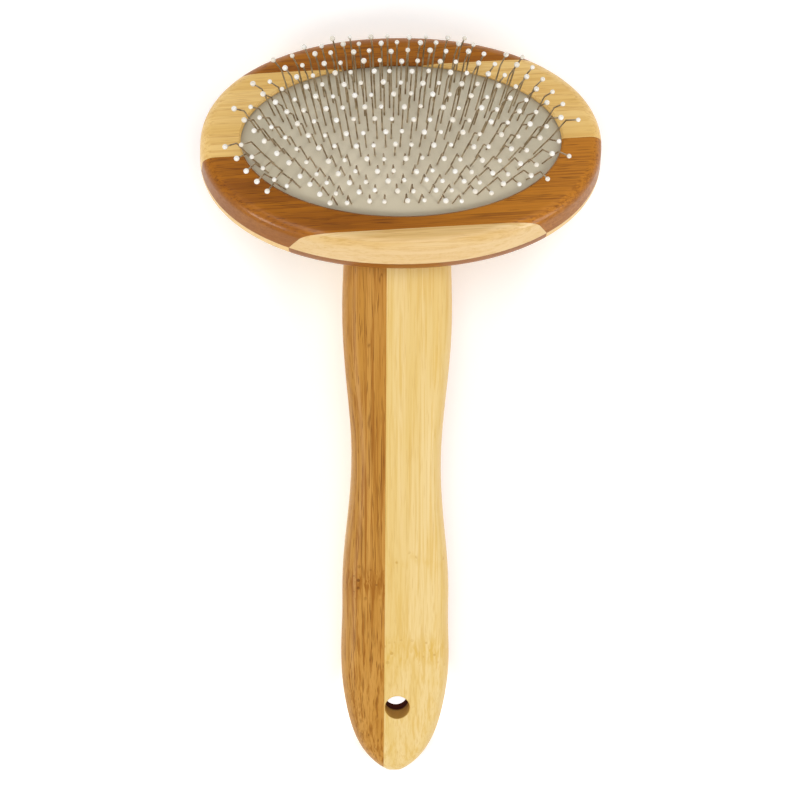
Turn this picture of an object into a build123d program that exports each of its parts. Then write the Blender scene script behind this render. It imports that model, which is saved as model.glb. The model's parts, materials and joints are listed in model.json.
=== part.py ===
from build123d import *
import os
from math import cos, radians, sin, sqrt

# Slicker brush with a laminated bamboo head and handle. It lies on its back, pins up:
# +X across the brush, +Y from the handle's tip to the head, +Z up from the table.
# Millimetres throughout.

# ---- head ----
HEAD_LENGTH = 100.1  # across the brush
HEAD_DEPTH = 60.8
HEAD_SQUARENESS = 2.11  # exponent of the oval, 2 is a true ellipse
FACE_PLY = 7.0
BACK_PLY = 6.5
FACE_LEAN_FRONT = 1.7  # how far the face ply's side leans in at its top, at the front
FACE_LEAN_SIDE = 0.3  # the same at both ends, and none at the rear
FACE_ROUND = 3.2
BACK_ROUND = 5.2
OUTLINE_POINTS = 32

# ---- the staves of both plies, split along lines across the head ----
REAR_LINE = 21.1
MIDDLE_LINE = -1.7
FRONT_LINE = -24.1
STAVE_SKEW = 3.3  # degrees
PAST = 80.0  # reaches past the head in any direction

# ---- opening in the face ply, with an undercut groove for the cushion's rim ----
OPENING_LENGTH = 79.6
OPENING_DEPTH = 42.2
OPENING_SHIFT = 0.6  # towards the rear of the head
LIP = 1.15
LIP_EASE = 0.5  # broken edge around the opening
GROOVE_HEIGHT = 2.1
GROOVE_REACH = 2.4

# ---- cushion: a domed rubber shell over a canvas sheet ----
DOME_RISE = 5.9
DOME_BASE = -1.3  # height of the dome's foot from the face
DOME_GAP = 0.35  # foot of the dome to the opening's edge
RIM_THICKNESS = 1.7
RIM_REACH = 1.8
RUBBER = 1.8
CANVAS = 0.6
CANVAS_TOP = 1.9  # canvas below the cushion's surface
CANVAS_HEM = 0.8
DOME_LEVELS = (0.0, 0.3, 0.55, 0.75, 0.9, 0.98)  # share of the rise

# ---- wire staples, in rows across the pad ----
ROWS = 16
ROW_STEP = 2.22
FIRST_ROW = -17.1
STAPLE_PITCH = 8.28
ROW_SHIFT = 2.13  # each row towards the rear starts this much further left
FIRST_STAPLE = 2.2
STAPLE_CROWN = 3.5
FIELD_A = 38.0  # feet stand inside this oval
FIELD_B = 18.55
FIELD_SHIFT = -1.3  # its middle from the opening's
WIRE_RADIUS = 0.2
LOWER_LEG = 10.9
UPPER_LEG = 7.0
KNEE_BEND = 23.0  # degrees, towards the handle
WIRE_BEND = 0.55  # radius on the wire's line, at the crown and the knee
BALL_RADIUS = 0.68  # on the left leg of a staple
SMALL_BALL_RADIUS = 0.57  # on its right leg
FRONT_LEAN = -10.6  # legs beyond these lines lean no more than those on them
REAR_LEAN = 12.1
LEFT_END = 0.62  # share of the dome's half length where the end legs begin to spread
RIGHT_END = 0.72
RIGHT_REAR = 1.6  # the right end's legs spread only in front of this line
TIP_SPREAD = 1.35  # outwards, for the tips of the left end
TIP_DROOP = 0.95  # towards the handle
RIGHT_SHARE = 0.8  # of the left end's spread
KNEE_SHARE = 0.45  # of the tip's spread

# ---- handle ----
HANDLE_RAKE = 37.5  # between the handle and the head's face
HANDLE_RISE = 5.65  # between the handle and the table
HANDLE_THICKNESS = 18.0
HANDLE_JOINT = -24.0  # where the handle's front face meets the head's back
HANDLE_SHIFT = -0.85  # handle's middle from the head's
HANDLE_LEAN = 0.22  # degrees, tip towards the left
STRIP_LINE = -2.85  # glue line between left and right strips
EDGE_ROUND = 4.6
# distance from the joint towards the tip, width, thickness
STATIONS = (
    (-36.0, 27.0, 18.0),
    (-12.0, 27.0, 18.0),
    (14.0, 27.5, 17.8),
    (34.0, 25.7, 17.2),
    (53.5, 22.7, 16.8),
    (76.0, 25.4, 16.6),
    (92.0, 27.2, 15.9),
    (105.0, 27.7, 14.6),
    (117.0, 26.6, 12.6),
    (126.5, 22.9, 10.6),
    (133.0, 17.7, 8.8),
    (137.5, 10.6, 6.2),
    (139.8, 4.4, 3.0),
)

# ---- hanging hole ----
HOLE_RADIUS = 3.2
HOLE_STATION = 121.0
HOLE_OFFSET = 0.55

# ---- countersunk screws through the back ply into the handle ----
SCREW_SPREAD = 6.5
SCREW_LINE = -16.0
SCREW_LENGTH = 19.0
SCREW_RADIUS = 1.75
SCREW_HEAD_RADIUS = 3.4
SCREW_HEAD_HEIGHT = 1.9
SCREW_POINT = 3.5
SLOT_WIDTH = 0.9
SLOT_DEPTH = 0.9
SLOT_LENGTH = 4.4

# ---- planes ----
HEAD_THICKNESS = FACE_PLY + BACK_PLY
HEAD_TILT = radians(HANDLE_RAKE - HANDLE_RISE)
RISE = radians(HANDLE_RISE)
SKEW = radians(STAVE_SKEW)
HEAD_ORIGIN_Y = 69.6  # centres the brush's box over the origin
HEAD_ORIGIN_Z = (
    (HEAD_DEPTH / 2 - BACK_ROUND) * sin(HEAD_TILT)
    + (HEAD_THICKNESS - BACK_ROUND) * cos(HEAD_TILT)
    + BACK_ROUND
)
# Centre of the face, z out of the face, y towards the rear of the head.
HEAD = Plane(
    origin=(0, HEAD_ORIGIN_Y, HEAD_ORIGIN_Z),
    x_dir=(1, 0, 0),
    z_dir=(0, sin(HEAD_TILT), cos(HEAD_TILT)),
)
# The same plane turned to run along the staves.
STAVES = Plane(
    origin=HEAD.origin,
    x_dir=HEAD.x_dir * cos(SKEW) + HEAD.y_dir * sin(SKEW),
    z_dir=HEAD.z_dir,
)
joint = HEAD.from_local_coords(Vector(HANDLE_SHIFT, HANDLE_JOINT, -HEAD_THICKNESS))
# Middle of the handle at the joint, z out of the handle's front, y towards the head.
GRIP = Plane(
    origin=joint + Vector(0, sin(RISE), -cos(RISE)) * (HANDLE_THICKNESS / 2),
    x_dir=(1, 0, 0),
    z_dir=(0, -sin(RISE), cos(RISE)),
).rotated((0, 0, -HANDLE_LEAN))
OPENING_CENTRE = (0, OPENING_SHIFT)
OPENING_A = OPENING_LENGTH / 2
OPENING_B = OPENING_DEPTH / 2
DOME_A = OPENING_A - DOME_GAP
DOME_B = OPENING_B - DOME_GAP
CROWN_DEPTH = CANVAS_TOP + CANVAS + WIRE_RADIUS + 0.05


def oval_points(side=0, front=0):
    """Points of the head's slightly squared oval, drawn in at its ends and its front."""
    points = []
    for k in range(OUTLINE_POINTS):
        angle = radians(360 * k / OUTLINE_POINTS)
        c, s = cos(angle), sin(angle)
        reach = (abs(c) ** HEAD_SQUARENESS + abs(s) ** HEAD_SQUARENESS) ** (-1 / HEAD_SQUARENESS)
        x = (HEAD_LENGTH / 2 - side) * reach * c
        y = (HEAD_DEPTH / 2 - front / 2) * reach * s + front / 2
        points.append((x, y))
    return points


def keep_band(low, high):
    """Keeps what lies between two skewed lines across the head."""
    with BuildSketch(STAVES) as band:
        with Locations((0, (low + high) / 2)):
            Rectangle(4 * PAST, high - low)
    extrude(band.sketch, amount=PAST, both=True, mode=Mode.INTERSECT)


def keep_box(plane, x_low, x_high, z_low, z_high):
    """Keeps what lies in a box on a plane that is endless along the plane's y."""
    with BuildSketch(plane.offset(z_low)) as box:
        with Locations(((x_low + x_high) / 2, 0)):
            Rectangle(x_high - x_low, 6 * PAST)
    extrude(box.sketch, amount=z_high - z_low, mode=Mode.INTERSECT)


def dome(inset, foot):
    """Adds a solid dome, inset from the cushion's surface, that stands on a straight foot."""
    base = DOME_BASE - inset
    sections = []
    for share in DOME_LEVELS:
        scale = sqrt(1 - share)
        with BuildSketch(HEAD.offset(base + share * DOME_RISE)) as level:
            with Locations(OPENING_CENTRE):
                Ellipse((DOME_A - inset) * scale, (DOME_B - inset) * scale)
        sections.append(level.sketch)
    loft(sections)
    with BuildSketch(HEAD.offset(base)) as footing:
        with Locations(OPENING_CENTRE):
            Ellipse(DOME_A - inset, DOME_B - inset)
    extrude(footing.sketch, amount=-foot)


def dome_point(u, v):
    """Point on the cushion's surface over (u, v), and its two directions there."""
    y = v - OPENING_SHIFT
    height = DOME_BASE + DOME_RISE * (1 - (u / DOME_A) ** 2 - (y / DOME_B) ** 2)
    slope_x = -2 * DOME_RISE * u / DOME_A**2
    slope_y = -2 * DOME_RISE * y / DOME_B**2
    normal = Vector(-slope_x, -slope_y, 1).normalized()
    rearward = normal.cross(Vector(1, 0, slope_x)).normalized()
    return Vector(u, v, height), normal, rearward


def leg_directions(u, v):
    """A leg's own direction and the rearward direction at its foot."""
    y = min(max(v - OPENING_SHIFT, FRONT_LEAN), REAR_LEAN)
    _, normal, rearward = dome_point(u, y + OPENING_SHIFT)
    return normal, rearward


def end_spread(u, v):
    """How far the tip of a leg at either end of the dome spreads beyond the others."""
    left = min(max((-u / DOME_A - LEFT_END) / 0.12, 0), 1)
    right = min(max((u / DOME_A - RIGHT_END) / 0.15, 0), 1) * RIGHT_SHARE
    if v > RIGHT_REAR:
        right = 0
    return Vector((right - left) * TIP_SPREAD, -(left + right) * TIP_DROOP, 0)


def leg_points(u, v):
    """Centre line of one staple leg in the head's frame: foot, knee and tip."""
    surface = dome_point(u, v)[0]
    normal, rearward = leg_directions(u, v)
    spread = end_spread(u, v)
    bend = radians(KNEE_BEND)
    foot = surface - normal * CROWN_DEPTH
    knee = surface + normal * LOWER_LEG
    tip = knee + (normal * cos(bend) - rearward * sin(bend)) * UPPER_LEG + spread
    knee += spread * KNEE_SHARE
    return [HEAD.from_local_coords(point) for point in (foot, knee, tip)]


def inside_field(u, v):
    """Whether a foot stands on the part of the dome that carries staples."""
    y = v - OPENING_SHIFT - FIELD_SHIFT
    return (u / FIELD_A) ** 2 + (y / FIELD_B) ** 2 < 1


def staple_legs(row):
    """Both legs of every staple of a row, from left to right."""
    v = FIRST_ROW + ROW_STEP * row
    half = STAPLE_CROWN / 2
    legs = []
    for k in range(-10, 11):
        u = FIRST_STAPLE + STAPLE_PITCH * k - ROW_SHIFT * row
        if inside_field(u - half, v) and inside_field(u + half, v):
            legs.append((leg_points(u - half, v), leg_points(u + half, v)))
    return legs


def wire_staple(left, right):
    """Adds one staple, swept from tip to tip through both knees and the crown."""
    with BuildLine() as wire:
        FilletPolyline(*reversed(left), *right, radius=WIRE_BEND)
    path = wire.line
    with BuildSketch(Plane(origin=path @ 0, z_dir=path % 0)) as section:
        Circle(WIRE_RADIUS)
    sweep(section.sketch, path=path)


def ball_tip(leg, radius):
    """Adds the ball on the end of a leg, turned about the wire, with a blind hole for it."""
    knee, tip = leg[1], leg[2]
    outward = (tip - knee).normalized()
    side = outward.cross(HEAD.x_dir).normalized()
    mouth = -sqrt(radius**2 - WIRE_RADIUS**2)
    with BuildSketch(Plane(origin=tip, x_dir=side, z_dir=side.cross(outward))) as profile:
        with BuildLine():
            Polyline((0, radius), (0, 0), (WIRE_RADIUS, 0), (WIRE_RADIUS, mouth))
            ThreePointArc((WIRE_RADIUS, mouth), (radius, 0), (0, radius))
        make_face()
    revolve(profile.sketch, axis=Axis(tip, outward))


def screw_solid(offset):
    """Adds one countersunk wood screw, driven from the cavity floor into the handle."""
    axis_plane = Plane(
        origin=HEAD.from_local_coords(Vector(HANDLE_SHIFT + offset, SCREW_LINE, -FACE_PLY)),
        x_dir=HEAD.x_dir,
        z_dir=HEAD.y_dir,
    )
    # On this plane x is across the head and y points into the handle or out of it.
    down = -1 if axis_plane.y_dir.dot(HEAD.z_dir) > 0 else 1
    with BuildSketch(axis_plane) as profile:
        with BuildLine():
            Polyline(
                (0, 0),
                (SCREW_HEAD_RADIUS, 0),
                (SCREW_RADIUS, down * SCREW_HEAD_HEIGHT),
                (SCREW_RADIUS, down * (SCREW_LENGTH - SCREW_POINT)),
                (0, down * SCREW_LENGTH),
                close=True,
            )
        make_face()
    axis = Axis(axis_plane.origin, axis_plane.y_dir)
    revolve(profile.sketch, axis=axis)


def cut_screw_holes():
    """Takes both screws' shapes out of a piece."""
    for cutter in screw_cutters:
        add(cutter, mode=Mode.SUBTRACT)


# ---- head blanks ----
with BuildPart() as face_ply:
    for height, side, front in ((-FACE_PLY, 0, 0), (0, FACE_LEAN_SIDE, FACE_LEAN_FRONT)):
        with BuildSketch(HEAD.offset(height)):
            with BuildLine():
                Spline(*oval_points(side, front), periodic=True)
            make_face()
    loft()
    fillet(face_ply.faces().sort_by(Axis(HEAD.origin, HEAD.z_dir))[-1].edges(), FACE_ROUND)
    with BuildSketch(HEAD.offset(-FACE_PLY)):
        with Locations(OPENING_CENTRE):
            Ellipse(OPENING_A, OPENING_B)
    extrude(amount=FACE_PLY, mode=Mode.SUBTRACT)
    face = face_ply.faces().sort_by(Axis(HEAD.origin, HEAD.z_dir))[-1]
    chamfer(face.inner_wires()[0].edges(), LIP_EASE)
    with BuildSketch(HEAD.offset(-LIP)):
        with Locations(OPENING_CENTRE):
            Ellipse(OPENING_A + GROOVE_REACH, OPENING_B + GROOVE_REACH)
    extrude(amount=-GROOVE_HEIGHT, mode=Mode.SUBTRACT)

with BuildPart() as back_ply:
    with BuildSketch(HEAD.offset(-HEAD_THICKNESS)):
        with BuildLine():
            Spline(*oval_points(), periodic=True)
        make_face()
    extrude(amount=BACK_PLY)
    fillet(back_ply.faces().sort_by(Axis(HEAD.origin, HEAD.z_dir))[0].edges(), BACK_ROUND)

# ---- screws ----
with BuildPart() as handle_screw_left:
    screw_solid(-SCREW_SPREAD)
with BuildPart() as handle_screw_right:
    screw_solid(SCREW_SPREAD)
screw_cutters = (handle_screw_left.part, handle_screw_right.part)

# ---- staves of the face ply ----
with BuildPart() as face_rear_crescent:
    add(face_ply.part)
    keep_band(REAR_LINE, PAST)

with BuildPart() as face_left_end:
    add(face_ply.part)
    keep_band(MIDDLE_LINE, REAR_LINE)
    keep_box(HEAD, -PAST, 0, -PAST, PAST)

with BuildPart() as face_right_end:
    add(face_ply.part)
    keep_band(MIDDLE_LINE, REAR_LINE)
    keep_box(HEAD, 0, PAST, -PAST, PAST)

with BuildPart() as face_middle_band:
    add(face_ply.part)
    keep_band(FRONT_LINE, MIDDLE_LINE)

with BuildPart() as face_front_crescent:
    add(face_ply.part)
    keep_band(-PAST, FRONT_LINE)

# ---- staves of the back ply, split along the same lines ----
with BuildPart() as back_rear_crescent:
    add(back_ply.part)
    keep_band(REAR_LINE, PAST)

with BuildPart() as back_rear_strip:
    add(back_ply.part)
    keep_band(MIDDLE_LINE, REAR_LINE)

with BuildPart() as back_front_strip:
    add(back_ply.part)
    keep_band(FRONT_LINE, MIDDLE_LINE)
    cut_screw_holes()

with BuildPart() as back_front_crescent:
    add(back_ply.part)
    keep_band(-PAST, FRONT_LINE)

# ---- handle blank, lofted through its stations and mitred on the head's back ----
with BuildPart() as handle_blank:
    for station, width, thickness in STATIONS:
        across = Plane(
            origin=GRIP.from_local_coords(Vector(0, -station, 0)),
            x_dir=GRIP.x_dir,
            z_dir=-GRIP.y_dir,
        )
        with BuildSketch(across):
            RectangleRounded(width, thickness, min(EDGE_ROUND, 0.47 * thickness))
    loft()
    with BuildSketch(HEAD.offset(-HEAD_THICKNESS)):
        Rectangle(4 * PAST, 4 * PAST)
    extrude(amount=PAST, mode=Mode.SUBTRACT)
    with BuildSketch(GRIP.offset(-HANDLE_THICKNESS)):
        with Locations((HOLE_OFFSET, -HOLE_STATION)):
            Circle(HOLE_RADIUS)
    extrude(amount=2 * HANDLE_THICKNESS, mode=Mode.SUBTRACT)
    cut_screw_holes()

with BuildPart() as handle_front_left:
    add(handle_blank.part)
    keep_box(GRIP, -PAST, STRIP_LINE, 0, PAST)

with BuildPart() as handle_front_right:
    add(handle_blank.part)
    keep_box(GRIP, STRIP_LINE, PAST, 0, PAST)

with BuildPart() as handle_back_left:
    add(handle_blank.part)
    keep_box(GRIP, -PAST, STRIP_LINE, -PAST, 0)

with BuildPart() as handle_back_right:
    add(handle_blank.part)
    keep_box(GRIP, STRIP_LINE, PAST, -PAST, 0)

# ---- slots of the screws, after the wood is cut to their full shape ----
for screw, offset in ((handle_screw_left, -SCREW_SPREAD), (handle_screw_right, SCREW_SPREAD)):
    with screw:
        with BuildSketch(HEAD.offset(-FACE_PLY)) as slot:
            with Locations((HANDLE_SHIFT + offset, SCREW_LINE)):
                Rectangle(SLOT_LENGTH, SLOT_WIDTH)
                Rectangle(SLOT_WIDTH, SLOT_LENGTH)
        extrude(slot.sketch, amount=-SLOT_DEPTH, mode=Mode.SUBTRACT)

# ---- cushion ----
with BuildPart() as rubber_hollow:
    dome(RUBBER, RIM_THICKNESS)

with BuildPart() as rubber_cushion:
    dome(0, RIM_THICKNESS)
    with BuildSketch(HEAD.offset(DOME_BASE)):
        with Locations(OPENING_CENTRE):
            Ellipse(OPENING_A + RIM_REACH, OPENING_B + RIM_REACH)
    extrude(amount=-RIM_THICKNESS)
    add(rubber_hollow.part, mode=Mode.SUBTRACT)

with BuildPart() as canvas_hollow:
    dome(CANVAS_TOP + CANVAS, CANVAS_HEM)

with BuildPart() as canvas_backing:
    dome(CANVAS_TOP, CANVAS_HEM)
    add(canvas_hollow.part, mode=Mode.SUBTRACT)

# ---- wire staples and their ball tips, one node of each for a row ----
pin_rows = []
tip_rows = []
for row in range(ROWS):
    legs = staple_legs(row)
    with BuildPart() as pin_row:
        for left, right in legs:
            wire_staple(left, right)
    with BuildPart() as ball_tips:
        for left, right in legs:
            ball_tip(left, BALL_RADIUS)
            ball_tip(right, SMALL_BALL_RADIUS)
    pin_row.part.label = f"pin_row_{row + 1:02d}"
    ball_tips.part.label = f"ball_tips_{row + 1:02d}"
    pin_rows.append(pin_row)
    tip_rows.append(ball_tips)

# ---- labels and files ----
face_rear_crescent.part.label = "face_rear_crescent"
face_left_end.part.label = "face_left_end"
face_right_end.part.label = "face_right_end"
face_middle_band.part.label = "face_middle_band"
face_front_crescent.part.label = "face_front_crescent"
back_rear_crescent.part.label = "back_rear_crescent"
back_rear_strip.part.label = "back_rear_strip"
back_front_strip.part.label = "back_front_strip"
back_front_crescent.part.label = "back_front_crescent"
handle_front_left.part.label = "handle_front_left"
handle_front_right.part.label = "handle_front_right"
handle_back_left.part.label = "handle_back_left"
handle_back_right.part.label = "handle_back_right"
handle_screw_left.part.label = "handle_screw_left"
handle_screw_right.part.label = "handle_screw_right"
rubber_cushion.part.label = "rubber_cushion"
canvas_backing.part.label = "canvas_backing"

wooden_pieces = [
    face_rear_crescent,
    face_left_end,
    face_right_end,
    face_middle_band,
    face_front_crescent,
    back_rear_crescent,
    back_rear_strip,
    back_front_strip,
    back_front_crescent,
    handle_front_left,
    handle_front_right,
    handle_back_left,
    handle_back_right,
]
other_pieces = [handle_screw_left, handle_screw_right, rubber_cushion, canvas_backing]
os.makedirs("parts", exist_ok=True)
for piece in wooden_pieces + other_pieces + pin_rows + tip_rows:
    export_step(piece.part, f"parts/{piece.part.label}.step")
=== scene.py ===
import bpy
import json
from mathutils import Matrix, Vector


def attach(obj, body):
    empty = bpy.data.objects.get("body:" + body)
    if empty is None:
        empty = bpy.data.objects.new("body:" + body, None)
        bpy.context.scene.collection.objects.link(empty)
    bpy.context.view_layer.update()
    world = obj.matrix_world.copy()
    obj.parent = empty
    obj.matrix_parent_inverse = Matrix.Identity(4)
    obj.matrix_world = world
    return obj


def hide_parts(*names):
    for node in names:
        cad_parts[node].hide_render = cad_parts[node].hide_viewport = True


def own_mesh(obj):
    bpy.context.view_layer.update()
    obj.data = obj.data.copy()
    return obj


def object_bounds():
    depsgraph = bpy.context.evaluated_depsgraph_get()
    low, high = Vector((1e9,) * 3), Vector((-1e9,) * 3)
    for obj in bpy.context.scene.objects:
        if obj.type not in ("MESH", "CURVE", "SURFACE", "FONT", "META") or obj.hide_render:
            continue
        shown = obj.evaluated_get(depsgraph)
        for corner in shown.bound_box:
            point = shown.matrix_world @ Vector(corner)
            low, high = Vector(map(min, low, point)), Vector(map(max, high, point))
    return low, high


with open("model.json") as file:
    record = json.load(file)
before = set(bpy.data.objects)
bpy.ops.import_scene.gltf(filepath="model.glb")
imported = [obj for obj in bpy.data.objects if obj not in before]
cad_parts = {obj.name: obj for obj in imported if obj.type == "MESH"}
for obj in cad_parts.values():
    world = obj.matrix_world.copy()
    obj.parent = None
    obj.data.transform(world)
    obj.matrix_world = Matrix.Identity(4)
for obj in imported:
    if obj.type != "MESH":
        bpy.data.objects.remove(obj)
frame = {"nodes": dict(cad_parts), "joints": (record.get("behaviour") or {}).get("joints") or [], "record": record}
cad_box = [list(corner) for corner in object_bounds()]

import json
import math
import random

import bmesh
import bpy
import numpy as np
from mathutils import Matrix, Vector

# Slicker brush, lying on its back with the pins up. Lengths are written in millimetres
# and multiplied by MM, because the scene is in metres.
MM = 0.001
random.seed(11)

# ---- the head's and the handle's own directions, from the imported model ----
joint = frame["joints"][0]
NORMAL = -Vector(joint["axis"])
ACROSS = Vector((1, 0, 0))
REARWARD = NORMAL.cross(ACROSS)
hole = frame["record"]["mounts"][0]
GRIP_NORMAL = Vector(hole["axis"])
GRIP_FORWARD = GRIP_NORMAL.cross(ACROSS)


def span(node, direction):
    """Lowest and highest reach of a CAD node along a direction."""
    reach = [v.co.dot(direction) for v in frame["nodes"][node].data.vertices]
    return min(reach), max(reach)


rear_reach = span("rubber_cushion", REARWARD)
FACE_LEVEL = span("face_middle_band", NORMAL)[1]
PAD = REARWARD * (sum(rear_reach) / 2) + NORMAL * FACE_LEVEL
OPENING_SHIFT = 0.6 * MM
HEAD = PAD - REARWARD * OPENING_SHIFT


def pad_point(u, v, w):
    """Point over the middle of the opening: u across, v rearward, w out of the face."""
    return PAD + ACROSS * u + REARWARD * v + NORMAL * w


# ---- sizes shared with the CAD model ----
OPENING_A = 39.8 * MM
OPENING_B = 21.1 * MM
DOME_A = 39.45 * MM
DOME_B = 20.75 * MM
DOME_RISE = 5.9 * MM
DOME_BASE = -1.3 * MM
RIM_THICKNESS = 1.7 * MM
RIM_REACH = 1.8 * MM
RUBBER = 1.8 * MM
CANVAS_TOP = 1.9 * MM
CANVAS = 0.6 * MM
ROWS = 16
ROW_STEP = 2.22 * MM
FIRST_ROW = -17.7 * MM
STAPLE_PITCH = 8.28 * MM
ROW_SHIFT = 2.13 * MM
FIRST_STAPLE = 2.2 * MM
STAPLE_CROWN = 3.5 * MM
STAPLES_TRIED = 10  # to either side of a row's first; those outside the field are left out
FIELD_A = 38.0 * MM
FIELD_B = 18.55 * MM
FIELD_SHIFT = -1.3 * MM
CROWN_DEPTH = 2.75 * MM
LOWER_LEG = 10.9 * MM
UPPER_LEG = 7.0 * MM
KNEE_BEND = math.radians(23)
WIRE_RADIUS = 0.2 * MM
WIRE_BEND = 0.55 * MM
BEAD_RADIUS = 0.68 * MM
SMALL_BEAD_RADIUS = 0.57 * MM
FRONT_LEAN = -10.6 * MM
REAR_LEAN = 12.1 * MM
LEFT_END = 0.62
RIGHT_END = 0.72
RIGHT_REAR = 1.0 * MM
TIP_SPREAD = 1.35 * MM
TIP_DROOP = 0.95 * MM
RIGHT_SHARE = 0.8
KNEE_SHARE = 0.45
LEFT_FADE = 0.12
RIGHT_FADE = 0.15


# ---- node helpers ----
def srgb(red, green, blue):
    """Linear colour of a tone given as 0 to 255 on a screen."""
    tone = []
    for value in (red, green, blue):
        share = value / 255
        tone.append(share / 12.92 if share <= 0.04045 else ((share + 0.055) / 1.055) ** 2.4)
    return (*tone, 1.0)


class Graph:
    """A material's node tree, with one short call for each node."""

    def __init__(self, name):
        self.material = bpy.data.materials.new(name)
        self.material.use_nodes = True
        self.tree = self.material.node_tree
        self.shader = self.tree.nodes["Principled BSDF"]

    def add(self, kind, *values, **settings):
        """Makes a node, sets its properties, and fills its inputs in order."""
        made = self.tree.nodes.new("ShaderNode" + kind)
        for key, value in settings.items():
            setattr(made, key, value)
        for socket, value in zip(made.inputs, values):
            self.fill(socket, value)
        return made

    def fill(self, socket, value):
        """Links an output to a socket, or writes a constant on it."""
        if isinstance(value, bpy.types.NodeSocket):
            self.tree.links.new(value, socket)
        else:
            socket.default_value = value

    def math(self, operation, *values):
        return self.add("Math", *values, operation=operation).outputs[0]

    def vector(self, operation, *values):
        made = self.add("VectorMath", *values, operation=operation)
        return made.outputs["Value" if operation == "DOT_PRODUCT" else "Vector"]

    def ramp(self, value, low, high, to_low=0.0, to_high=1.0):
        """Smooth step of a value between two levels."""
        made = self.add("MapRange", value, low, high, to_low, to_high)
        made.interpolation_type = "SMOOTHSTEP"
        return made.outputs[0]

    def mix(self, share, first, second):
        """Colour between two others."""
        made = self.tree.nodes.new("ShaderNodeMix")
        made.data_type = "RGBA"
        self.fill(made.inputs[0], share)
        self.fill(made.inputs[6], first)
        self.fill(made.inputs[7], second)
        return made.outputs[2]

    def noise(self, place, scale, detail=2.0, roughness=0.5, distortion=0.0):
        made = self.add("TexNoise")
        self.fill(made.inputs["Vector"], place)
        made.inputs["Scale"].default_value = scale
        made.inputs["Detail"].default_value = detail
        made.inputs["Roughness"].default_value = roughness
        made.inputs["Distortion"].default_value = distortion
        return made.outputs["Fac"]

    def cells(self, place, scale):
        """Distance to the nearest of many scattered points."""
        made = self.add("TexVoronoi")
        self.fill(made.inputs["Vector"], place)
        made.inputs["Scale"].default_value = scale
        return made.outputs["Distance"]

    def bump(self, height, strength, distance):
        made = self.add("Bump")
        made.inputs["Strength"].default_value = strength
        made.inputs["Distance"].default_value = distance
        self.fill(made.inputs["Height"], height)
        self.fill(self.shader.inputs["Normal"], made.outputs["Normal"])

    def finish(self, colour, **constants):
        """Fills the shader's colour and its constant inputs."""
        self.fill(self.shader.inputs["Base Color"], colour)
        for key, value in constants.items():
            self.fill(self.shader.inputs[key.replace("_", " ")], value)
        return self.material


def object_place(graph):
    """Coordinates in millimetres."""
    made = graph.vector("SCALE", graph.add("TexCoord").outputs["Object"])
    made.node.inputs["Scale"].default_value = 1 / MM
    return made


def stretched(graph, place, along, across):
    """Coordinates drawn out along the grain, which is their x."""
    return graph.vector("MULTIPLY", place, (along, across, across))


def grain_place(graph, origin, grain, side, up, shift):
    """Coordinates in millimetres with x along the grain, shifted so that pieces differ."""
    seat = graph.add("TexCoord").outputs["Object"]
    local = graph.vector("SUBTRACT", seat, tuple(origin))
    parts = []
    for direction in (grain, side, up):
        scaled = tuple(direction / MM)
        parts.append(graph.vector("DOT_PRODUCT", local, scaled))
    plain = graph.add("CombineXYZ", *parts).outputs[0]
    return plain, graph.vector("ADD", plain, shift)


# ---- bamboo ----
SHINE = 0.2  # specular level of the lacquer
HEAD_GLOSS = 0.32
HANDLE_GLOSS = 0.02


def along_grain(graph, plain):
    """Distance along the grain from the wood's origin."""
    return graph.add("SeparateXYZ", plain).outputs[0]


def fibre_tones(graph, plain, place, wood):
    """Colour of fibre bundles cut along their length, with the noises that its streaks and
    its hairs are drawn from."""
    bands = graph.noise(stretched(graph, place, 0.012, 0.22), 1.0, 2.0, 0.55)
    tone = graph.mix(graph.ramp(bands, 0.36, 0.64), wood["body"], wood["second"])
    if "pale" in wood:
        # Painted light: the stave pales towards its right end, where more light falls on it.
        share = graph.ramp(along_grain(graph, plain), wood["pale_from"], wood["pale_to"])
        tone = graph.mix(share, tone, wood["pale"])

    fine = graph.noise(stretched(graph, place, 0.03, 1.3), 1.0, 4.0, 0.62, 0.2)
    share = graph.ramp(fine, 0.46, 0.66, 0.0, wood["streaks"])
    tone = graph.mix(share, tone, wood["streak"])

    hair = graph.noise(stretched(graph, place, 0.05, 4.2), 1.0, 2.0, 0.5)
    tone = graph.mix(graph.ramp(hair, 0.5, 0.72, 0.0, 0.38), tone, wood["streak"])

    # Long dark lines, where a slow noise crosses its middle value.
    slow = graph.noise(stretched(graph, place, 0.018, 0.55), 1.0, 3.0, 0.55, 0.3)
    crossing = graph.math("ABSOLUTE", graph.math("SUBTRACT", slow, 0.5))
    line = graph.ramp(crossing, 0.0, 0.022, 1.0, 0.0)
    gate = graph.ramp(graph.noise(stretched(graph, place, 0.03, 0.3), 1.0), 0.44, 0.6)
    share = graph.math("MULTIPLY", line, graph.math("MULTIPLY", gate, wood["lines"]))
    tone = graph.mix(share, tone, wood["fibre"])

    # Dark bundles that come in drifts.
    bundle = graph.cells(stretched(graph, place, 0.022, 1.0), 1.15)
    spots = graph.ramp(bundle, 0.1, 0.3, 1.0, 0.0)
    gate = graph.ramp(graph.noise(stretched(graph, place, 0.04, 0.35), 1.0), 0.42, 0.62)
    share = graph.math("MULTIPLY", spots, graph.math("MULTIPLY", gate, 0.9 * wood["lines"]))
    tone = graph.mix(share, tone, wood["fibre"])

    # Short dark pores, drawn out along the fibres.
    pore = graph.cells(stretched(graph, place, 0.1, 2.2), 1.0)
    share = graph.ramp(pore, 0.12, 0.26, 1.2 * wood["lines"], 0.0)
    return graph.mix(share, tone, wood["fibre"]), fine, hair


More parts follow.
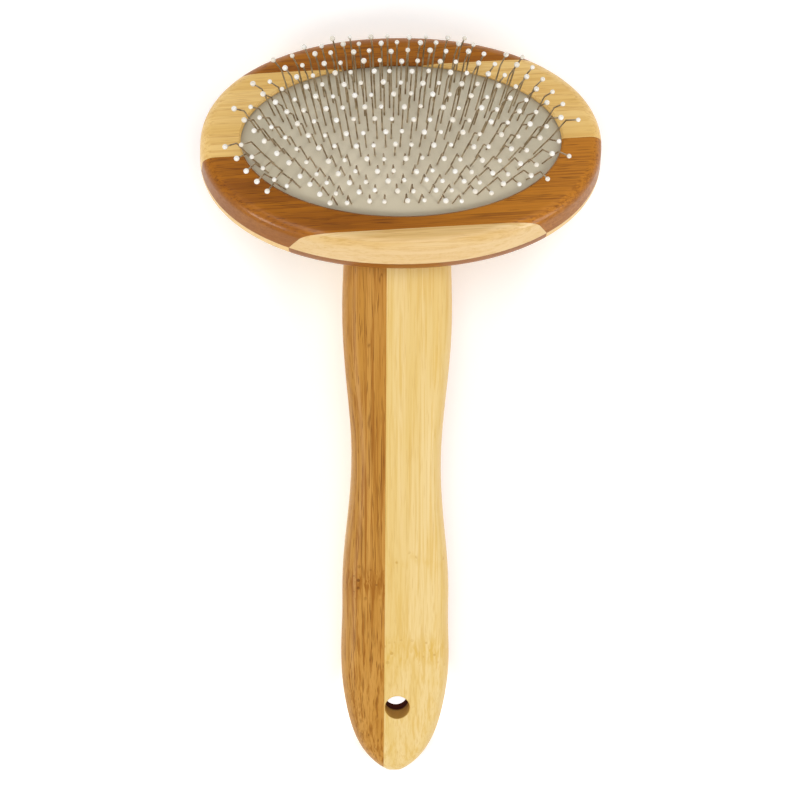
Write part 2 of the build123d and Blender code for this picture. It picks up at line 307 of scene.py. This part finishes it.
def growth_nodes(graph, plain, place, wood, nodes, tone):
    """Growth nodes across a strip: the fibres bend and thicken, with a few dark pores."""
    for station, reach, depth in nodes:
        wander = graph.noise(stretched(graph, place, 0.05, 0.5), 1.0, 2.0)
        offset = graph.math("MULTIPLY_ADD", wander, 7.0, -3.5 - station)
        away = graph.math("ABSOLUTE", graph.math("ADD", along_grain(graph, plain), offset))
        window = graph.ramp(away, 0.0, reach, 1.0, 0.0)
        feather = graph.noise(stretched(graph, place, 0.22, 1.3), 1.0, 3.0, 0.6, 0.8)
        feathers = graph.ramp(feather, 0.42, 0.62)
        share = graph.math("MULTIPLY", graph.math("MULTIPLY", window, feathers), depth)
        tone = graph.mix(share, tone, wood["streak"])
        pore = graph.cells(stretched(graph, place, 0.42, 0.42), 1.0)
        pores = graph.ramp(pore, 0.15, 0.25, 1.0, 0.0)
        share = graph.math("MULTIPLY", graph.math("MULTIPLY", window, pores), 0.85)
        tone = graph.mix(share, tone, wood["fibre"])
    return tone


def shaded_bore(graph, plain, bore, tone):
    """Colour with the wall of a hole in a tan tone that is painted darker towards the back face, as painted shade
    deep in the hole, and the share that tells the wall from the rest."""
    centre, radius, depth = bore
    split = graph.add("SeparateXYZ", graph.vector("SUBTRACT", plain, centre))
    squares = [graph.math("POWER", graph.math("ABSOLUTE", part), 2.0) for part in split.outputs[:2]]
    away = graph.math("SQRT", graph.math("ADD", *squares))
    inside = graph.ramp(away, radius + 0.04, radius + 0.16, 1.0, 0.0)
    bore_shade_depth = graph.ramp(split.outputs[2], -0.3 * depth, 0.0, 1.0, 0.0)
    bore_shade = graph.mix(bore_shade_depth, srgb(206, 164, 84), srgb(78, 28, 8))
    return graph.mix(inside, tone, bore_shade), inside


def bamboo(name, origin, grain, up, wood, shift, nodes=(), gloss=HEAD_GLOSS, bore=None):
    """Laminated bamboo under a satin lacquer, its grain running along one direction."""
    graph = Graph(name)
    plain, place = grain_place(graph, origin, grain, up.cross(grain), up, shift)
    tone, fine, hair = fibre_tones(graph, plain, place, wood)
    tone = growth_nodes(graph, plain, place, wood, nodes, tone)

    # The rounded edges cut across the fibres, so they look duller and mottled, in an edge tone that is partly end
    # grain and partly painted shade where the surface turns away from the face.
    facing = graph.vector("DOT_PRODUCT", graph.add("NewGeometry").outputs["Normal"], tuple(up))
    turned = graph.ramp(graph.math("ABSOLUTE", facing), 0.2, 0.9, 1.0, 0.0)
    mottle = graph.noise(stretched(graph, place, 0.9, 1.3), 1.0, 4.0, 0.7)
    edge_grain_and_shade = graph.math("MULTIPLY", turned, graph.ramp(mottle, 0.3, 0.7, 0.35, 0.85))
    tone = graph.mix(edge_grain_and_shade, tone, wood["edge"])

    shine = SHINE
    if bore:
        # The hole's wall takes painted shade, darkest towards the back face.
        tone, inside = shaded_bore(graph, plain, bore, tone)
        shine = graph.math("MULTIPLY_ADD", inside, -SHINE, SHINE)

    relief = graph.math("MULTIPLY_ADD", fine, 0.6, graph.math("MULTIPLY", hair, 0.4))
    relief = graph.math("MULTIPLY_ADD", turned, mottle, relief)
    graph.bump(relief, 0.12, 0.12 * MM)
    sheen = graph.ramp(fine, 0.35, 0.75, 0.36, 0.5)
    rough = graph.math("ADD", sheen, graph.math("MULTIPLY", turned, 0.1))
    return graph.finish(
        tone,
        Roughness=rough,
        Specular_IOR_Level=shine,
        Coat_Weight=gloss,
        Coat_Roughness=0.2,
    )


def wood_of(streaks, lines, **tones):
    """A wood's tones, and how strong its streaks and its dark lines are."""
    made = {name: srgb(*tone) for name, tone in tones.items()}
    made.update(streaks=streaks, lines=lines)
    return made


# Each wood's edge tone is partly end grain and partly painted shade for its rounded edges.
amber = wood_of(
    body=(178, 108, 14), second=(160, 93, 8), streak=(124, 64, 4),
    fibre=(84, 38, 2), edge=(150, 90, 22), streaks=0.5, lines=0.5,
)
honey = wood_of(
    body=(246, 208, 134), second=(238, 196, 116), streak=(224, 174, 90),
    fibre=(198, 140, 68), edge=(238, 198, 130), streaks=0.6, lines=0.4,
)
cream = wood_of(
    body=(236, 205, 152), second=(228, 190, 124), streak=(212, 168, 94),
    fibre=(198, 148, 78), edge=(233, 200, 146), streaks=0.8, lines=0.4,
)
caramel = wood_of(
    body=(204, 150, 72), second=(192, 136, 56), streak=(156, 96, 22),
    fibre=(116, 66, 12), edge=(204, 154, 90), streaks=0.85, lines=0.6,
)
straw = wood_of(
    body=(236, 208, 146), second=(230, 198, 126), streak=(222, 182, 94),
    fibre=(208, 164, 84), edge=(229, 197, 144), streaks=0.7, lines=0.3,
)
# The band around the opening's front, the same wood as amber at its left end, with painted light that pales it
# towards its right end.
amber_lit_right = {**amber, "pale": srgb(194, 123, 31), "pale_from": -14.0, "pale_to": 26.0}

HEAD_SKEW = math.radians(3.3)  # of the head's seams and grain
HEAD_GRAIN = ACROSS * math.cos(HEAD_SKEW) + REARWARD * math.sin(HEAD_SKEW)
head_woods = {
    "face_rear_crescent": amber,
    "face_left_end": honey,
    "face_right_end": honey,
    "face_middle_band": amber_lit_right,
    "face_front_crescent": cream,
    "back_rear_crescent": honey,
    "back_rear_strip": amber,
    "back_front_strip": honey,
    "back_front_crescent": amber,
}
# A handle strip's growth nodes: distance from the joint, reach and depth of tone.
handle_woods = {
    "handle_front_left": (caramel, ((-86.0, 6.5, 1.0),)),
    "handle_front_right": (straw, ((-105.5, 6.0, 1.0), (-81.0, 2.0, 0.4))),
    "handle_back_left": (straw, ((-62.0, 4.0, 0.7),)),
    "handle_back_right": (caramel, ((-96.0, 4.0, 0.6),)),
}


def paint(node, material):
    """Gives a CAD node one material of its own."""
    slots = frame["nodes"][node].data.materials
    slots.clear()
    slots.append(material)


for k, (node, wood) in enumerate(head_woods.items()):
    shift = (37.0 * k, 11.0 * k, 5.0 * k)
    paint(node, bamboo("bamboo_" + node, HEAD, HEAD_GRAIN, NORMAL, wood, shift))

# Middle of the handle where it meets the head, and the hanging hole seen from there.
HOLE_STATION = 121.0
HOLE_PLACE = Vector(hole["pos_m"])
GRIP = HOLE_PLACE - ACROSS * HOLE_PLACE.x + GRIP_FORWARD * (HOLE_STATION * MM)
HALF_BORE = hole["dims"]["length_mm"] / 2
BORE = ((-HOLE_STATION, -HOLE_PLACE.x / MM, 0.0), hole["dims"]["r_mm"], HALF_BORE)
for k, (node, (wood, nodes)) in enumerate(handle_woods.items()):
    shift = (53.0 * k, 17.0 * k, 9.0 * k)
    made = bamboo(
        "bamboo_" + node, GRIP, GRIP_FORWARD, GRIP_NORMAL, wood, shift,
        nodes, HANDLE_GLOSS, BORE,
    )
    paint(node, made)


# ---- other materials ----
def steel(name, tone, dull, rough, scale):
    """Drawn steel with faint draw marks and dull patches."""
    graph = Graph(name)
    place = object_place(graph)
    marks = graph.noise(place, scale, 3.0, 0.6)
    patches = graph.noise(place, scale * 0.12, 2.0)
    colour = graph.mix(graph.ramp(patches, 0.35, 0.68), tone, dull)
    graph.bump(marks, 0.15, 0.02 * MM)
    return graph.finish(
        colour, Metallic=1.0, Roughness=graph.ramp(marks, 0.3, 0.7, rough, rough + 0.16)
    )


def rubber_material():
    """Matt grey-beige rubber with a fine moulded grain, faint clouds of tone, and painted shade that darkens it
    from its middle towards its edge along the wood."""
    graph = Graph("rubber_cushion_matt")
    place, _ = grain_place(graph, PAD, ACROSS, REARWARD, NORMAL, (0, 0, 0))
    cloud = graph.noise(place, 0.12, 3.0, 0.6)
    grain = graph.noise(place, 3.2, 4.0, 0.7)
    share = graph.vector("MULTIPLY", place, (MM / DOME_A, MM / DOME_B, 0.0))
    # Painted shade: the rubber darkens from its middle towards its edge along the wood.
    outward = graph.ramp(graph.vector("DOT_PRODUCT", share, share), 0.25, 0.95)
    colour = graph.mix(outward, srgb(225, 216, 193), srgb(200, 191, 167))
    colour = graph.mix(graph.ramp(cloud, 0.35, 0.65, 0.0, 0.35), colour, srgb(196, 187, 163))
    colour = graph.mix(graph.ramp(grain, 0.55, 0.75, 0.0, 0.3), colour, srgb(182, 172, 148))
    graph.bump(grain, 0.25, 0.06 * MM)
    return graph.finish(colour, Roughness=graph.ramp(grain, 0.3, 0.7, 0.62, 0.78), IOR=1.45)


THREAD = 0.8  # millimetres between the canvas's threads


def canvas_material():
    """Undyed cotton canvas in a plain weave."""
    graph = Graph("canvas_weave")
    plain, _ = grain_place(graph, PAD, ACROSS, REARWARD, NORMAL, (0, 0, 0))
    split = graph.add("SeparateXYZ", plain)
    turns = 2 * math.pi / THREAD
    warp = graph.math("SINE", graph.math("MULTIPLY", split.outputs[0], turns))
    weft = graph.math("SINE", graph.math("MULTIPLY", split.outputs[1], turns))
    weave = graph.math("MULTIPLY", warp, weft)
    slub = graph.noise(plain, 0.6, 3.0)
    colour = graph.mix(graph.ramp(weave, -0.8, 0.8), srgb(206, 198, 174), srgb(232, 226, 206))
    colour = graph.mix(graph.ramp(slub, 0.5, 0.7, 0.0, 0.35), colour, srgb(188, 176, 146))
    graph.bump(weave, 0.5, 0.1 * MM)
    return graph.finish(colour, Roughness=0.9, Sheen_Weight=0.25)


def bead_material():
    """Glossy off-white plastic drops, a little warmer where the plastic is thin."""
    graph = Graph("bead_gloss")
    place = object_place(graph)
    cloud = graph.noise(place, 0.5, 2.0)
    colour = graph.mix(graph.ramp(cloud, 0.35, 0.65), srgb(250, 247, 240), srgb(240, 232, 216))
    return graph.finish(
        colour, Roughness=graph.ramp(cloud, 0.3, 0.7, 0.18, 0.3), Coat_Weight=0.4
    )


wire_steel = steel("pin_wire_steel", srgb(208, 192, 166), srgb(158, 138, 110), 0.38, 2.5)
screw_steel = steel("screw_steel_turned", srgb(196, 194, 190), srgb(150, 146, 138), 0.28, 1.6)
rubber = rubber_material()
canvas = canvas_material()
bead_gloss = bead_material()
for node in ("handle_screw_left", "handle_screw_right"):
    paint(node, screw_steel)


# ---- new pieces ----
def new_piece(name, mesh, material, slot, body, *nodes):
    """Links a finished mesh, seats it on its body, and hides the CAD nodes it stands for."""
    mesh.materials.append(material)
    for face in mesh.polygons:
        face.use_smooth = True
    piece = bpy.data.objects.new(name, mesh)
    bpy.context.scene.collection.objects.link(piece)
    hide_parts(*nodes)
    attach(piece, body)
    return piece


def closed_shell(name, spoke, spokes):
    """Closed dome-shaped shell. spoke(angle) gives a spoke's points, from the middle of the
    top over the edge to the middle of the underside."""
    bm = bmesh.new()
    top, bottom = spoke(0.0)[0], spoke(0.0)[-1]
    first, last = bm.verts.new(top), bm.verts.new(bottom)
    loops = []
    for k in range(spokes):
        points = spoke(2 * math.pi * k / spokes)[1:-1]
        loops.append([bm.verts.new(point) for point in points])
    for k in range(spokes):
        here, after = loops[k], loops[(k + 1) % spokes]
        bm.faces.new((first, here[0], after[0]))
        for j in range(len(here) - 1):
            bm.faces.new((here[j], here[j + 1], after[j + 1], after[j]))
        bm.faces.new((here[-1], last, after[-1]))
    bmesh.ops.recalc_face_normals(bm, faces=bm.faces)
    mesh = bpy.data.meshes.new(name)
    bm.to_mesh(mesh)
    bm.free()
    return mesh


def dome_height(u, v, inset=0.0):
    """Height of the cushion's surface over a point, less an inset."""
    fall = (u / (DOME_A - inset)) ** 2 + (v / (DOME_B - inset)) ** 2
    return DOME_BASE - inset + DOME_RISE * (1 - fall)


def end_spread(u, v):
    """How far the tip of a leg at either end of the dome spreads beyond the others."""
    left = min(max((-u / DOME_A - LEFT_END) / LEFT_FADE, 0), 1)
    right = min(max((u / DOME_A - RIGHT_END) / RIGHT_FADE, 0), 1) * RIGHT_SHARE
    if v > RIGHT_REAR:
        right = 0
    return Vector(((right - left) * TIP_SPREAD, -(left + right) * TIP_DROOP, 0))


def leg_points(u, v):
    """Foot, knee and tip of a staple leg, in pad coordinates. Legs near the front and the
    rear lean no more than those on the two lean lines."""
    slope_u = -2 * DOME_RISE * u / DOME_A**2
    slope_v = -2 * DOME_RISE * min(max(v, FRONT_LEAN), REAR_LEAN) / DOME_B**2
    surface = Vector((u, v, dome_height(u, v)))
    normal = Vector((-slope_u, -slope_v, 1)).normalized()
    rearward = normal.cross(Vector((1, 0, slope_u))).normalized()
    spread = end_spread(u, v)
    foot = surface - normal * CROWN_DEPTH
    knee = surface + normal * LOWER_LEG
    tip = knee + (normal * math.cos(KNEE_BEND) - rearward * math.sin(KNEE_BEND)) * UPPER_LEG
    return foot, knee + spread * KNEE_SHARE, tip + spread


def inside_field(u, v):
    """Whether a foot stands on the part of the dome that carries staples."""
    return (u / FIELD_A) ** 2 + ((v - FIELD_SHIFT) / FIELD_B) ** 2 < 1


def row_feet(row):
    """Left and right foot of each staple of a row."""
    v = FIRST_ROW + ROW_STEP * row
    half = STAPLE_CROWN / 2
    feet = []
    for k in range(-STAPLES_TRIED, STAPLES_TRIED + 1):
        u = FIRST_STAPLE + STAPLE_PITCH * k - ROW_SHIFT * row
        if inside_field(u - half, v) and inside_field(u + half, v):
            feet.append(((u - half, v), (u + half, v)))
    return feet


# ---- cushion ----
RINGS = 92
HOLLOW_RINGS = 24
SPOKES = 440
RIM_EASE = 0.3 * MM
DIMPLE_DEPTH = 0.16 * MM
DIMPLE_REACH = 0.5 * MM
all_feet = np.array([foot for row in range(ROWS) for pair in row_feet(row) for foot in pair])


def dimples(u, v):
    """How far the rubber is drawn in around the wires at a point."""
    away = np.hypot(all_feet[:, 0] - u, all_feet[:, 1] - v)
    return DIMPLE_DEPTH * float(np.exp(-((away / DIMPLE_REACH) ** 2)).sum())


def oval_point(grow, angle, w):
    """Point on an oval that is this much larger than the opening, at a height."""
    u = (OPENING_A + grow) * math.cos(angle)
    v = (OPENING_B + grow) * math.sin(angle)
    return pad_point(u, v, w)


def dome_spoke(angle, inset, rings):
    """Points of a dome's surface from its middle to its foot, inset from the cushion's."""
    points = []
    for ring in range(rings + 1):
        u = (DOME_A - inset) * ring / rings * math.cos(angle)
        v = (DOME_B - inset) * ring / rings * math.sin(angle)
        drawn_in = dimples(u, v) if inset == 0 else 0.0
        points.append(pad_point(u, v, dome_height(u, v, inset) - drawn_in))
    return points


def cushion_spoke(angle):
    """Spoke of the cushion: its surface, the rim under the lip, and the hollow underneath."""
    floor = DOME_BASE - RIM_THICKNESS
    rim = [
        oval_point(-0.25 * MM, angle, DOME_BASE - 0.08 * MM),
        oval_point(0.8 * RIM_REACH, angle, DOME_BASE - 0.1 * MM),
        oval_point(RIM_REACH, angle, DOME_BASE - 0.22 * MM),
        oval_point(RIM_REACH, angle, floor + RIM_EASE),
        oval_point(RIM_REACH - RIM_EASE, angle, floor),
        oval_point(-0.35 * MM - RUBBER, angle, floor),
    ]
    return dome_spoke(angle, 0, RINGS) + rim + dome_spoke(angle, RUBBER, HOLLOW_RINGS)[::-1]


cushion = new_piece(
    "cushion_dome", closed_shell("cushion_dome", cushion_spoke, SPOKES),
    rubber, "cushion_rubber", "pin_field", "rubber_cushion",
)
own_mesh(cushion)


# ---- canvas under the cushion, an oval stretched over the same dome ----
CANVAS_RINGS = 40
CANVAS_SPOKES = 180


def canvas_spoke(angle):
    """Spoke of the canvas: its top and its underside."""
    top = dome_spoke(angle, CANVAS_TOP, CANVAS_RINGS)
    return top + dome_spoke(angle, CANVAS_TOP + CANVAS, CANVAS_RINGS)[::-1]


canvas_sheet = new_piece(
    "canvas_sheet", closed_shell("canvas_sheet", canvas_spoke, CANVAS_SPOKES),
    canvas, "backing_canvas", "pin_field", "canvas_backing",
)


# ---- wire staples and beads ----
WIRE_SIDES = 8
SHARP_TURN = 0.8  # radians; a sharper one takes more steps
KNEE_STRAY = 0.1 * MM
TIP_STRAY = 0.2 * MM


def rounded(corners):
    """Line through corners, each turned with the wire's bend."""
    line = [corners[0]]
    for before, corner, after in zip(corners, corners[1:], corners[2:]):
        into, out = (corner - before).normalized(), (after - corner).normalized()
        turn = into.angle(out)
        reach = WIRE_BEND * math.tan(turn / 2)
        start, end = corner - into * reach, corner + out * reach
        steps = 3 if turn < SHARP_TURN else 6
        for k in range(steps + 1):
            t = k / steps
            line.append(start * (1 - t) ** 2 + corner * (2 * t * (1 - t)) + end * t**2)
    line.append(corners[-1])
    return line


def add_tube(bm, line, radius, sides):
    """Closed round tube along a line."""
    ring_before = None
    side = (line[1] - line[0]).orthogonal().normalized()
    for k, point in enumerate(line):
        ahead = line[min(k + 1, len(line) - 1)] - line[max(k - 1, 0)]
        ahead.normalize()
        side = (side - ahead * side.dot(ahead)).normalized()
        other = ahead.cross(side)
        ring = []
        for j in range(sides):
            angle = 2 * math.pi * j / sides
            reach = side * math.cos(angle) + other * math.sin(angle)
            ring.append(bm.verts.new(point + reach * radius))
        if ring_before is None:
            bm.faces.new(tuple(reversed(ring)))
        else:
            for j in range(sides):
                after = (j + 1) % sides
                bm.faces.new((ring_before[j], ring_before[after], ring[after], ring[j]))
        ring_before = ring
    bm.faces.new(tuple(ring_before))


# Profile of a bead along its wire, in shares of its radius: the plastic is dipped on, so
# it runs a little way down the wire.
BEAD_PROFILE = [(math.sin(math.radians(a)), math.cos(math.radians(a))) for a in range(18, 150, 18)]
BEAD_PROFILE += [(0.42, -0.98), (0.33, -1.12)]
BEAD_SIDES = 18


def add_bead(bm, tip, outward, radius):
    """Drop of plastic on a wire's tip."""
    side = outward.orthogonal().normalized()
    other = outward.cross(side)
    top = bm.verts.new(tip + outward * radius)
    before = None
    for width, height in BEAD_PROFILE:
        ring = []
        for j in range(BEAD_SIDES):
            angle = 2 * math.pi * j / BEAD_SIDES
            reach = side * math.cos(angle) + other * math.sin(angle)
            ring.append(bm.verts.new(tip + outward * (height * radius) + reach * (width * radius)))
        for j in range(BEAD_SIDES):
            after = (j + 1) % BEAD_SIDES
            if before is None:
                bm.faces.new((top, ring[j], ring[after]))
            else:
                bm.faces.new((before[j], ring[j], ring[after], before[after]))
        before = ring
    bm.faces.new(tuple(reversed(before)))


def strayed(point, spread):
    """A point moved a little, as hand-set wires are."""
    return point + Vector([random.uniform(-spread, spread) for _ in range(3)])


for row in range(ROWS):
    wires, beads = bmesh.new(), bmesh.new()
    for pair in row_feet(row):
        line = []
        ends = []
        for place, foot_place in enumerate(pair):
            foot, knee, tip = leg_points(*foot_place)
            knee = strayed(knee, KNEE_STRAY)
            tip = strayed(tip, TIP_STRAY)
            leg = [tip, knee, foot]
            line += leg if place == 0 else list(reversed(leg))
            ends.append((tip, (tip - knee).normalized()))
        world = [pad_point(*corner) for corner in rounded(line)]
        add_tube(wires, world, WIRE_RADIUS, WIRE_SIDES)
        for k, (tip, outward) in enumerate(ends):
            heading = ACROSS * outward.x + REARWARD * outward.y + NORMAL * outward.z
            size = (BEAD_RADIUS if k == 0 else SMALL_BEAD_RADIUS) * random.uniform(0.95, 1.04)
            add_bead(beads, pad_point(*tip), heading, size)
    for bm, stem, material, slot, node in (
        (wires, "wire_row", wire_steel, "pin_wire", "pin_row"),
        (beads, "bead_row", bead_gloss, "tip_bead", "ball_tips"),
    ):
        name = f"{stem}_{row + 1:02d}"
        mesh = bpy.data.meshes.new(name)
        bmesh.ops.recalc_face_normals(bm, faces=bm.faces)
        bm.to_mesh(mesh)
        bm.free()
        new_piece(name, mesh, material, slot, "pin_field", f"{node}_{row + 1:02d}")


# ---- floor ----
def floor_material():
    """White paper that glows a little, and more under the hanging hole, so that the hole is
    seen to go right through."""
    graph = Graph("floor_paper")
    place = graph.add("TexCoord").outputs["Object"]
    cloud = graph.noise(place, 3.0, 2.0)
    colour = graph.mix(graph.ramp(cloud, 0.3, 0.7), srgb(250, 250, 250), srgb(246, 246, 246))
    under = graph.vector("SUBTRACT", place, (HOLE_PLACE.x, HOLE_PLACE.y, 0.0))
    away = graph.math("SQRT", graph.vector("DOT_PRODUCT", under, under))
    glow = graph.ramp(away, 8 * MM, 18 * MM, 0.95, 0.25)
    return graph.finish(
        colour, Roughness=0.9, Emission_Color=srgb(255, 255, 255), Emission_Strength=glow
    )


FLOOR_HALF = 2.5
FLOOR_GAP = 0.05 * MM

bm = bmesh.new()
bmesh.ops.create_grid(bm, x_segments=8, y_segments=8, size=FLOOR_HALF)
mesh = bpy.data.meshes.new("floor")
bm.to_mesh(mesh)
bm.free()
mesh.materials.append(floor_material())
floor = bpy.data.objects.new("floor", mesh)
floor.location.z = cad_box[0][2] - FLOOR_GAP
bpy.context.scene.collection.objects.link(floor)


# ---- light ----
LIT_POINT = Vector((0, 0.03, 0))
ROOM_LIGHT = 0.42


def soft_box(name, place, size, power, tone):
    """Square soft light that faces the brush."""
    light = bpy.data.lights.new(name, "AREA")
    light.shape = "SQUARE"
    light.size = size
    light.energy = power
    light.color = tone
    made = bpy.data.objects.new(name, light)
    made.location = place
    made.rotation_mode = "QUATERNION"
    made.rotation_quaternion = (LIT_POINT - Vector(place)).to_track_quat("-Z", "Y")
    bpy.context.scene.collection.objects.link(made)


WARM = (1.0, 0.98, 0.95)
WHITE = (1.0, 1.0, 1.0)
soft_box("box_left", (-0.75, -0.45, 0.7), 0.3, 3.4, WARM)
soft_box("box_right", (0.75, -0.45, 0.7), 0.45, 4.0, WARM)
soft_box("box_top", (0.0, 0.4, 1.15), 0.7, 5.0, WHITE)

world = bpy.data.worlds.new("studio")
world.use_nodes = True
backdrop = world.node_tree.nodes["Background"]
backdrop.inputs["Color"].default_value = (*WHITE, 1.0)
backdrop.inputs["Strength"].default_value = ROOM_LIGHT
bpy.context.scene.world = world
bpy.context.scene.view_settings.view_transform = "Standard"

# ---- camera, nearly straight above the brush ----
CAMERA_TILT = math.radians(22.95)  # between the head's normal and the camera's
CAMERA_TURN = math.radians(1.88)
CAMERA_ROLL = math.radians(0.35)
HEAD_IN_VIEW = Vector((0.38, 64.12, -800.5)) * MM  # head's origin in the camera's axes
CAMERA_LENS = 145.5

tilt = Matrix.Rotation(-CAMERA_TILT, 3, "X")
turn = Matrix.Rotation(CAMERA_TURN, 3, "Y")
roll = Matrix.Rotation(CAMERA_ROLL, 3, "Z")
to_view = roll @ turn @ tilt
head_axes = Matrix((ACROSS, REARWARD, NORMAL)).transposed()
camera_axes = head_axes @ to_view.transposed()
camera_data = bpy.data.cameras.new("camera")
camera_data.lens = CAMERA_LENS
camera_data.sensor_width = 36.0
camera_data.clip_start = 0.01
camera_data.clip_end = 20.0
camera = bpy.data.objects.new("camera", camera_data)
camera.matrix_world = Matrix.Translation(HEAD - camera_axes @ HEAD_IN_VIEW) @ camera_axes.to_4x4()
bpy.context.scene.collection.objects.link(camera)
bpy.context.scene.camera = camera
